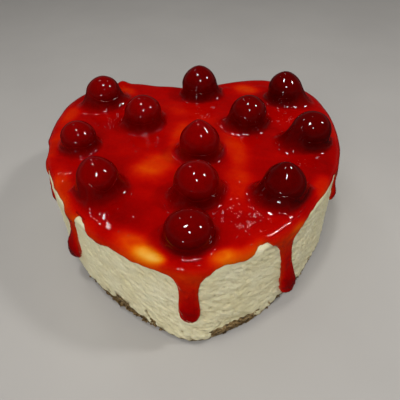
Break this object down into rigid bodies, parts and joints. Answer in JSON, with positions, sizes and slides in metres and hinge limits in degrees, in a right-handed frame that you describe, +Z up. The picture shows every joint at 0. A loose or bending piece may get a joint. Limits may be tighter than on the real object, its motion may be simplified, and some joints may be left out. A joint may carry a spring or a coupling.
{
  "type": "heart-shaped cherry cheesecake",
  "caption": "Whole heart-shaped cheesecake: biscuit base, cream cheese filling and a red fruit glaze that drips down the side, topped with glazed cherries.",
  "frame": {"origin": "middle of the box round the heart's rim in plan, on the flat underside of the biscuit base that rests on the table", "axes": "+Z up; the heart's point faces -Y and its cleft faces +Y; +X is to the right seen from the point"},
  "size_m": [0.2103, 0.2029, 0.0922],
  "materials": {
    "biscuit": "dry pressed biscuit crumb",
    "cream": "set cream cheese, satin, marked by a knife",
    "glaze": "wet, clear red fruit glaze",
    "cherry": "dark cherry under a wet glaze"
  },
  "bodies": {
    "root": {"biscuit_base": "biscuit", "cheese_filling": "cream", "glaze": "glaze", "cherry_01": "cherry", "cherry_02": "cherry", "cherry_03": "cherry", "cherry_04": "cherry", "cherry_05": "cherry", "cherry_06": "cherry", "cherry_07": "cherry", "cherry_08": "cherry", "cherry_09": "cherry", "cherry_10": "cherry", "cherry_11": "cherry", "cherry_12": "cherry"}
  },
  "joints": []
}
